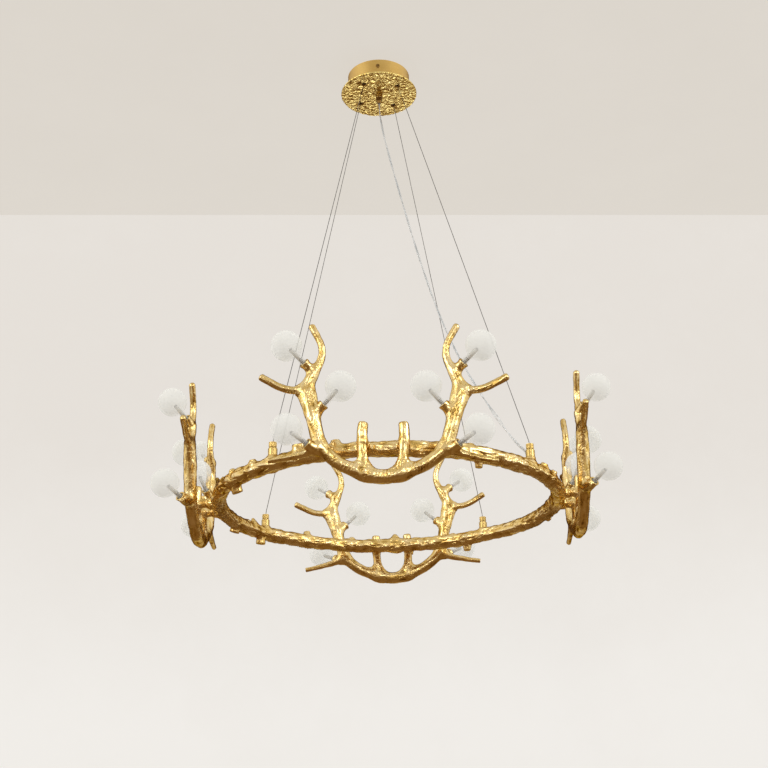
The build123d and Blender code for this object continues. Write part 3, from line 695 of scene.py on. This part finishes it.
rack_growth = Growth((-252, -92, -24), (252, 250, 40), 1.25)
both_sides = mirrored(main_beam[:0:-1], -1) + list(main_beam)
rack_growth.limb(both_sides, 4)
rack_lines = [through(both_sides)]
for side in (-1, 1):
    for stations, blend in ((lateral_tine, 27), (brow_tine, 15), (middle_tine, 20)):
        longer, cuts = past_tip(mirrored(stations, side))
        rack_growth.limb(longer, blend, cuts=cuts, edge=1.6 if stations is brow_tine else 5.0, web=12.0)
        rack_lines.append(through(longer))
    rack_growth.limb([(side * boss_across, 0, depth, boss_width) for depth in (0, -30)], 6,
                     cuts=[((0, 0, boss_face_radius - rack_radius), (0, 0, -1))])
cup_mouths = []
for side in (-1, 1):
    for centre, aim in lamps:
        axis = Vector((side * aim[0], aim[1], aim[2])).normalized()
        mouth = Vector((side * centre[0], centre[1], centre[2])) - axis * globe_reach
        cup_mouths.append((mouth, axis))
        body = [(*(mouth + axis * place), wide) for place, wide in cup_body]
        rack_growth.limb(body, 8, cuts=[(mouth, axis)], edge=0.8)
        bore = [(*(mouth + axis * place), cup_bore) for place in (-cup_bore_depth, -8, 4)]
        rack_growth.limb(bore, 0.6, cuts=[(mouth - axis * cup_bore_depth, -axis)], carve=True)

points, quads, normals = rack_growth.skin()
along_limb, outward, tangent, sure = flow(points, rack_lines)
sideways = np.cross(tangent, np.array((0.0, 0.0, 1.0)))
front = outward[:, 2]
flank = np.sum(outward * sideways, axis=1)
around_limb = np.stack([along_limb / 32, front * 1.6, flank * 1.6], axis=1)
long_dents = np.abs(grain(around_limb, 1)) * sure + np.abs(grain(points / 16, 2)) * (1 - sure)
lumps = grain(points / 15, 3)
gouge_spots = np.stack([along_limb / 9, front * 3.4, flank * 3.4], axis=1)
gouges = np.clip(1 - 4.5 * np.abs(grain(gouge_spots, 4)), 0, 1)
gouges *= np.clip(0.3 + 1.8 * grain(points / 26, 8), 0, 1)
low_beam = np.clip((105 - np.abs(points[:, 0])) / 20, 0, 1) * np.clip((-25 - points[:, 1]) / 15, 0, 1)
strokes = np.maximum(np.sin(along_limb / 1.05 + 2.2 * np.arctan2(flank, front) + 2 * lumps), 0) ** 2
strokes *= low_beam * np.clip(front * 1.5, 0, 1) * np.clip(0.5 + 1.2 * grain(points / 17, 5), 0, 1)
creases = np.clip(1 - 9 * np.abs(grain(points / 14 + 0.6 * lumps[:, None], 6)), 0, 1)
near_cups = np.full(len(points), 0.15)
for mouth, axis in cup_mouths:
    from_mouth = np.linalg.norm(points - np.array(mouth), axis=1)
    near_cups = np.maximum(near_cups, np.clip(1.6 - from_mouth / 24, 0, 1))
facets = np.abs(grain(points / 4.6, 7)) * near_cups
height = 0.4 * lumps - 1.1 * long_dents + 0.55 * facets - 0.6 * gouges - 0.4 * creases + 0.8 * strokes + 0.25
mouth_guard = np.ones(len(points))
for mouth, axis in cup_mouths:
    span = points - np.array(mouth)
    depth = span @ np.array(axis)
    beside = np.linalg.norm(span - depth[:, None] * np.array(axis), axis=1)
    inside = (beside < 12) & (depth > -19)
    mouth_guard[inside] = np.minimum(mouth_guard[inside], np.clip((beside[inside] - 7.6) / 2.0, 0, 1) * 0.5)
mouth_guard *= np.clip((points[:, 2] + 20.0) / 3, 0, 1)
height *= mouth_guard
points = points + normals * height[:, None]
rack_skin = relief_piece("rack_skin", points, quads, height, gold, *fine_relief)

for name, angle in rack_angles.items():
    mesh = rack_skin.data.copy()
    mesh.transform(Matrix.Scale(MM, 4) @ rack_place(angle) @ Matrix.Scale(1 / MM, 4))
    piece = bpy.data.objects.new(f"{name}_antler_casting", mesh)
    bpy.context.scene.collection.objects.link(piece)
    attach(piece, "fixture")
    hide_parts(f"{name}_antler_rack")
bpy.data.objects.remove(rack_skin)

# ------------------------------------------------------------------ bark ring
# Knots and cut side branches: place along the ring, direction round the branch (0 outwards, 90 up,
# 180 inwards, -90 down), reach from the centre line, root and end radius
knots = (
    (206, 48, 19, 9, 4.5), (214, 55, 21, 9, 4.5), (225, 70, 21, 13, 6), (243, 86, 26, 13, 11),
    (255.5, 84, 22.5, 15, 8), (149.5, 84, 28, 15, 3), (123.5, 86, 24, 12, 8), (105, 80, 18, 8, 5),
    (88.7, 86, 28, 19, 3), (66, 82, 19, 10, 4.5), (45.5, 35, 19, 9, 4), (297, 80, 19, 10, 6),
    (330, 66, 21.5, 12, 7), (336, 45, 19, 10, 5), (281, -60, 18, 9, 4), (18, -50, 19, 9, 4.5),
    (60.5, 200, 19, 13, 8),
)
cut_branches = (
    (212, -112, 27, 11, 11), (145, -84, 28, 10, 11), (160.5, -72, 23.5, 10, 11),
    (60.5, -86, 29, 11, 8), (82.5, -84, 24, 6, 3.5), (300, -95, 27, 9, 7), (186, -30, 22, 9, 6.5),
)
# Cracks: first and last place along the ring, and direction; chiselled stretches: middle and half length
cracks = ((93.5, 101, 128), (264.5, 272.5, 62))
crack_reach = 15.6          # from the centre line
chiselled = ((18, 20), (130, 15), (176, 27), (322, 25))
bark_radius = 14.0


def branch_middle(angle):
    """Middle of the branch at an angle along the ring, and its diameter; heights from the ring's."""
    turn = radians(angle)
    middle = around(angle, ring_radius + 0.78 * sin(7 * turn + 2.0), 0.65 * sin(9 * turn))
    return (*middle, 2 * (15.1 + 0.9 * (0.6 * sin(5 * turn + 1.0) + 0.4 * sin(12 * turn))))


def branch_side(angle, direction, reach):
    """Point off the ring's centre line at an angle, in a direction round the branch."""
    turn = radians(direction)
    return around(angle, ring_radius + reach * cos(turn), reach * sin(turn))


ring_growth = Growth((-394, -394, -32), (394, 394, 31), 1.2)
ring_growth.limb([branch_middle(angle) for angle in range(0, 361, 4)], 4)
for growths, blend in ((knots, 6), (cut_branches, 4)):
    for angle, direction, reach, root, end in growths:
        base, tip = branch_side(angle, direction, 0), branch_side(angle, direction, reach)
        away = (tip - base).normalized()
        ring_growth.limb([(*base, 2 * root), (*(base + away * reach * 0.6), 2 * (0.4 * root + 0.6 * end)),
                          (*tip, 2 * end), (*(tip + away * end), 2 * end)], blend, cuts=[(tip, away)])
for first, last, direction in cracks:
    crack = [(*branch_side(first + (last - first) * share, direction, crack_reach), wide)
             for share, wide in ((0, 1.5), (0.2, 3.4), (0.8, 3.4), (1, 1.5))]
    ring_growth.limb(crack, 0.6, carve=True)
for angle in rack_angles.values():
    across = rack_place(angle).to_3x3().col[0]
    for side in (-1, 1):
        face = around(angle, boss_face_radius) + across * side * boss_across
        out = around(angle, 1)
        ring_growth.limb([(*(face - out * 24), 21), (*(face - out * 9), 21), (*(face + out * 8), 21)], 7,
                         cuts=[(face, out)])
for name, angle in gripper_angles.items():
    seat = gripper_seats[name]
    ring_growth.limb([(*around(angle, ring_radius, 0), 24), (*around(angle, ring_radius, seat - 4), 21),
                      (*around(angle, ring_radius, seat + 8), 19.4)], 7,
                     cuts=[(around(angle, ring_radius, seat), (0, 0, 1))])

points, quads, normals = ring_growth.skin()
turn = np.arctan2(points[:, 1], points[:, 0])
radial = np.hypot(points[:, 0], points[:, 1]) - ring_radius
section = np.arctan2(points[:, 2], radial)


def bark(length, width, seed):
    """Noise stretched along the ring, from -1 to 1, without a seam."""
    round_width = bark_radius / width
    spot = np.stack([turn * ring_radius / length, np.cos(section) * round_width,
                     np.sin(section) * round_width], axis=1)
    lap = spot - np.array((2 * pi * ring_radius / length, 0, 0))
    share = np.clip((turn - 0.75 * pi) / (0.25 * pi), 0, 1)
    return grain(spot, seed) * (1 - share) + grain(lap, seed) * share


slats = np.abs(bark(34, 9, 11))
plates = bark(21, 11, 12)
knuckles = grain(points / 15, 13)
pits = grain(points / 5, 14)
marked = np.clip(0.9 * bark(60, 14, 15), 0, 0.5)
for middle, half in chiselled:
    degrees_off = np.abs((np.degrees(turn) - middle + 180) % 360 - 180)
    marked = np.maximum(marked, np.clip(2.2 * (1 - degrees_off / half), 0, 1))
notch_zone = marked * np.clip(0.25 - 1.5 * np.sin(section), 0, 1)
notches = np.maximum(np.sin(turn * ring_radius / 0.78 + 2.4 * section + 3 * knuckles), 0) ** 1.5 * notch_zone
ridges = np.abs(bark(44, 11, 16))
twists = np.abs(np.sin(section * 1.5 + turn * 9 + 1.6 * bark(70, 12, 17)))
creases = np.clip(1 - 8 * np.abs(bark(26, 8, 18)), 0, 1)
height = (1.9 * slats + 1.4 * plates + 1.1 * knuckles + 0.18 * pits + 1.5 * notches + 1.8 * ridges
          + 0.9 * twists - creases - 1)
guard = np.ones(len(points))
for name, angle in gripper_angles.items():
    seat = around(angle, ring_radius, gripper_seats[name])
    near = np.linalg.norm(points - np.array(seat), axis=1)
    guard = np.minimum(guard, np.clip((near - 10) / 6, 0, 1))
for angle, direction, reach, root, end in cut_branches:
    near = np.linalg.norm(points - np.array(branch_side(angle, direction, reach)), axis=1)
    guard = np.minimum(guard, np.clip((near - end - 1) / 5, 0.12, 1))
inlet = cord_out * (ring_radius - inlet_inward) + cord_aside * inlet_aside
near = np.linalg.norm(points[:, :2] - np.array(inlet)[:2], axis=1)
guard = np.minimum(guard, np.clip((near - 5) / 4, 0.2, 1))
for angle in rack_angles.values():
    guard *= np.clip((boss_face_radius - points @ np.array(around(angle, 1))) / 4, 0, 1)
height *= guard
points = points + normals * height[:, None]
points[:, 2] += ring_height
ring_piece = relief_piece("bark_ring", points, quads, height, gold, *ring_relief)
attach(ring_piece, "fixture")
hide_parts("branch_ring")

# ------------------------------------------------------------------ canopy plate
plate_low, plate_high = np.array((-95, -95, -53.0)), np.array((95, 95, -43.0))
plate_growth = Growth(plate_low, plate_high, 0.7)
window, (x, y, z) = plate_growth.window(plate_low, plate_high)
crumple_size = 6.2
spot = np.stack(np.broadcast_arrays(x[:, :, 0] / crumple_size, y[:, :, 0] / crumple_size, 0.5), axis=-1)
warp = np.stack([grain(spot * 0.6, 21), grain(spot * 0.6, 22), np.zeros(spot.shape[:-1])], axis=-1)
worms = 1 - 2.4 * np.abs(grain(spot + 0.9 * warp, 23))
crumple = grain(spot * 0.5 + 4.2, 24)
crumpled = 0.62 * worms + 0.45 * crumple - 0.35
plate_edge = 1.0            # radius of its rounded rim
rim = np.hypot(x, y) - (plate_radius - plate_edge)
thick = np.abs(z + canopy_height + plate_thickness / 2) - (plate_thickness / 2 - plate_edge)
slab = np.hypot(np.maximum(rim, 0), np.maximum(thick, 0)) + np.minimum(np.maximum(rim, thick), 0)
slab = slab - plate_edge
underside = np.clip((-(z + canopy_height + 1.0)) / 1.6, 0, 1)
slab = slab - crumpled[:, :, None] * underside * 1.25
holes = [(around(angle, plate_wire_circle), 3.9) for angle in gripper_angles.values()]
holes.append((Vector((0, 0, 0)), 5.2))
for hole, radius in holes:
    flare = 3.2 * np.clip((-47.4 - z) / 2.2, 0, 1)
    slab = -smooth_least(-slab, np.hypot(x - hole.x, y - hole.y) - radius - flare, 0.5)
plate_growth.distance[window] = slab
points, quads, normals = plate_growth.skin()
column = ((points[:, :2] - plate_low[:2]) / plate_growth.voxel).astype(int)
column = np.clip(column, 0, np.array(crumpled.shape) - 1)
height = crumpled[column[:, 0], column[:, 1]]
# Painted shade: round each hole the relief is set to its lowest, which only darkens the plate's colour there.
for hole, radius in holes:
    height[np.hypot(points[:, 0] - hole.x, points[:, 1] - hole.y) < radius + 2.6] = fine_relief[0]
plate_piece = relief_piece("crumpled_plate", points, quads, height, plate_gold, *fine_relief)
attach(plate_piece, "fixture")
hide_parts("canopy_plate")

# ------------------------------------------------------------------ globes
globe_radius = 30.0
globe_wall = 1.2
neck_radius = 7.0
neck_depth = 9.0
neck_fillet = 5.0
globe_sides = 72
axis_hole = 0.01            # radius at which a lathed piece closes
frost_start, frost_length = 13.0, 34.0   # up the axis, from the cup's mouth


def globe_profile(radius, neck, fillet):
    """Radius and height of one face of the glass, from the neck's end to the top."""
    touch = np.sqrt((radius + fillet) ** 2 - (neck + fillet) ** 2)
    centre = globe_reach - touch
    meet = np.arctan2(touch, neck + fillet)
    hollow = [(neck + fillet - fillet * cos(t), centre + fillet * sin(t)) for t in np.linspace(0, meet, 7)]
    start = np.arctan2(-touch, neck + fillet)
    ball = [(radius * cos(t), globe_reach + radius * sin(t)) for t in np.linspace(start, pi / 2, 44)[1:]]
    straight = [(neck, height) for height in np.linspace(-neck_depth, centre, 9)[:-1]]
    return straight + hollow + ball


def in_cup(points, angle, mouth, axis):
    """Points round a vertical axis moved to a cup of the rack at an angle; their zero is at its mouth."""
    turned = axis.to_track_quat("Z", "X").to_matrix().to_4x4()
    matrix = np.array(rack_place(angle) @ Matrix.Translation(mouth) @ turned)
    return points @ matrix[:3, :3].T + matrix[:3, 3]


outer = globe_profile(globe_radius, neck_radius, neck_fillet)
inner = globe_profile(globe_radius - globe_wall, neck_radius - globe_wall, neck_fillet + globe_wall)
lip = (neck_radius - globe_wall * 0.5, -neck_depth)
profile = np.array([*outer[::-1], lip, *inner])
profile[0, 0] = profile[-1, 0] = axis_hole
globe_points, globe_quads = lathe(profile, globe_sides)
frost_level = np.clip((globe_points[:, 2] - frost_start) / frost_length, 0, 1)
frost_level = frost_level * frost_level * (3 - 2 * frost_level)

for name, angle in rack_angles.items():
    for number, (mouth, axis) in enumerate(cup_mouths):
        level = ("upper", "middle", "lower")[number % 3]
        hand = "left" if number < 3 else "right"
        placed = in_cup(globe_points, angle, mouth, axis) * MM
        globe = mesh_object(f"{name}_{level}_{hand}_glass", placed, globe_quads[:, ::-1], frosted)
        set_number(globe, "frost", frost_level)
        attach(globe, f"{name}_{level}_{hand}_globe")
        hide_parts(f"{name}_{level}_{hand}_globe")

# ------------------------------------------------------------------ lamp capsules
capsule_foot = -9.4
capsule_sides = 20
rib_radius, rib_depth, rib_pitch = 4.35, 0.75, 3.0
bulb_radius, bulb_foot, bulb_shoulder = 4.2, 21.6, 43.0
ribbed = [(rib_radius - rib_depth * (abs(place % rib_pitch - rib_pitch / 2) < 0.6), capsule_foot + place)
          for place in np.arange(0, 21.1, 0.3)]
bulb = [(bulb_radius * cos(t), capsule_foot + bulb_shoulder + bulb_radius * sin(t))
        for t in np.linspace(0, pi / 2, 8)]
profile = np.array([(axis_hole, capsule_foot), *ribbed, (bulb_radius, capsule_foot + bulb_foot), *bulb])
profile[-1, 0] = axis_hole
one_capsule, one_faces = lathe(profile, capsule_sides)
cups = [(angle, *cup) for angle in rack_angles.values() for cup in cup_mouths]
points = np.concatenate([in_cup(one_capsule, *cup) for cup in cups])
quads = np.concatenate([one_faces + number * len(one_capsule) for number in range(len(cups))])
ribs = np.tile(np.repeat(profile[:, 0] - (rib_radius - rib_depth), capsule_sides), len(cups))
capsules = relief_piece("ribbed_capsules", points, quads, ribs, capsule, 0.0, rib_depth)
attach(capsules, "fixture")
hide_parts("lamp_capsules")


# ------------------------------------------------------------------ room
def room_finish(name, dark, light, glow, fall=0.0):
    """Pale plaster, seen from the room's side only, which may grow lighter towards the floor as painted
    light.
    """
    finish = Finish(name, base_color=(0.12, 0.12, 0.12, 1), roughness=0.95, specular_ior_level=0.1,
                    emission_strength=glow)
    height = finish.node("SeparateXYZ", None, {0: finish.node("TexCoord")["Object"]})["Z"]
    cloud = (finish.noise(3.0, 8.0, 0.7) - 0.5) * 0.6 + 0.5 * (1 - fall)
    # Painted light: the plaster brightens towards the floor by the given share.
    lower = (0 - height).above(0.55, 1.55)
    finish.feed("Emission Color", finish.ramp(cloud + fall * lower, (0.0, dark), (1.0, light)))
    behind = finish.node("NewGeometry")["Backfacing"]
    clear = finish.node("BsdfTransparent")[0]
    plaster = Value(finish, finish.shader.outputs[0])
    one_sided = finish.node("MixShader", None, {0: behind, 1: plaster, 2: clear})
    finish.tree.links.new(one_sided[0].socket, finish.tree.nodes["Material Output"].inputs["Surface"])
    return finish.material


def room_face(name, corners, material, lights=True):
    """A flat part of the room, with corners anticlockwise as the room sees them. It may light nothing."""
    mesh = bpy.data.meshes.new(name)
    mesh.from_pydata([tuple(corner) for corner in corners], [], [(0, 1, 2, 3)])
    mesh.materials.append(material)
    face = bpy.data.objects.new(name, mesh)
    bpy.context.scene.collection.objects.link(face)
    face.visible_glossy = False
    face.visible_shadow = False
    face.visible_diffuse = lights


room_side, room_front, room_back, room_height = 6.0, -7.0, 1.2, 2.7
floor_drop = Vector((0, 0, -room_height))
wall_start, wall_end = Vector((-room_side, 0.305, 0)), Vector((room_side, 1.066, 0))
front_start, front_end = Vector((room_side, room_front, 0)), Vector((-room_side, room_front, 0))
# The wall's plaster brightens towards the floor as painted light.
wall_plaster = room_finish("wall_plaster", (0.715, 0.68, 0.635), (0.815, 0.795, 0.76), 0.96, 1.0)
for name, start, end in (("wall", wall_start, wall_end), ("right_wall", wall_end, front_start),
                         ("front_wall", front_start, front_end), ("left_wall", front_end, wall_start)):
    room_face(name, (start + floor_drop, end + floor_drop, end, start), wall_plaster, name == "wall")
back_right, back_left = Vector((room_side, room_back, 0)), Vector((-room_side, room_back, 0))
room_face("ceiling", (front_end, back_left, back_right, front_start),
          room_finish("ceiling_plaster", (0.68, 0.64, 0.58), (0.74, 0.70, 0.64), 0.93))
room_face("floor", [corner + floor_drop for corner in (front_end, front_start, back_right, back_left)],
          room_finish("floor_plaster", (0.66, 0.64, 0.61), (0.74, 0.72, 0.69), 0.95), False)


# ------------------------------------------------------------------ lights
def place_lamp(light, place, aim):
    """Hangs a light at a place, turned to a point."""
    lamp = bpy.data.objects.new(light.name, light)
    lamp.location = place
    lamp.rotation_euler = (Vector(aim) - Vector(place)).to_track_quat("-Z", "Y").to_euler()
    bpy.context.scene.collection.objects.link(lamp)


def soft_light(name, place, size, power, colour=(1, 1, 1)):
    """A square soft light turned to the ring."""
    light = bpy.data.lights.new(name, "AREA")
    light.shape, light.size, light.energy, light.color = "SQUARE", size, power, colour
    place_lamp(light, place, (0, 0, -1.1))


soft_light("window_light", (-2.3, -1.9, 0.0), 1.7, 24, (1, 0.98, 0.95))
soft_light("side_light", (2.4, -1.7, 0.0), 1.3, 21)
soft_light("front_light", (0.5, -3.3, -0.3), 0.9, 10)
plate_light = bpy.data.lights.new("plate_light", "SPOT")
plate_light.energy, plate_light.shadow_soft_size = 20, 0.35
plate_light.spot_size, plate_light.spot_blend = radians(9), 0.4
place_lamp(plate_light, (0, 1.77, -0.75), (0, 0, -0.05))

# What the gold reflects: dark warm brown below, paler above and at the sides, dark behind; from straight
# down at 0 to straight up at 1
sky_levels = ((0.0, 0.22), (0.26, 0.17), (0.33, 0.20), (0.42, 0.45), (0.56, 0.72), (0.64, 0.60), (0.75, 0.60),
              (0.88, 0.75))
world = bpy.data.worlds.new("studio")
studio = Graph(world)
facing = studio.node("SeparateXYZ", None, {0: studio.node("TexCoord")["Generated"]})
sideways = facing["X"].math("ABSOLUTE", facing["X"])
level = studio.ramp(facing["Z"] * 0.5 + 0.5, *((place, (grey, grey, grey)) for place, grey in sky_levels))
level = level + 0.32 * sideways.above(0.45, 0.85) * facing["Z"].above(-0.3, 0.15)
level = level * (1 - 0.78 * facing["Y"].above(0.45, 0.75) * facing["Z"].above(-0.25, 0.0))
level = level + 0.55 * facing["Y"].above(0.72, 0.9) * (0 - facing["Z"]).above(0.08, 0.22)
bright = level.above(0.05, 0.75)
tint = studio.node("CombineXYZ", None, {
    0: level, 1: level * (0.52 + 0.44 * bright), 2: level * (0.14 + 0.78 * bright)})
studio.tree.links.new(tint["Vector"].socket, studio.tree.nodes["Background"].inputs["Color"])
bpy.context.scene.world = world
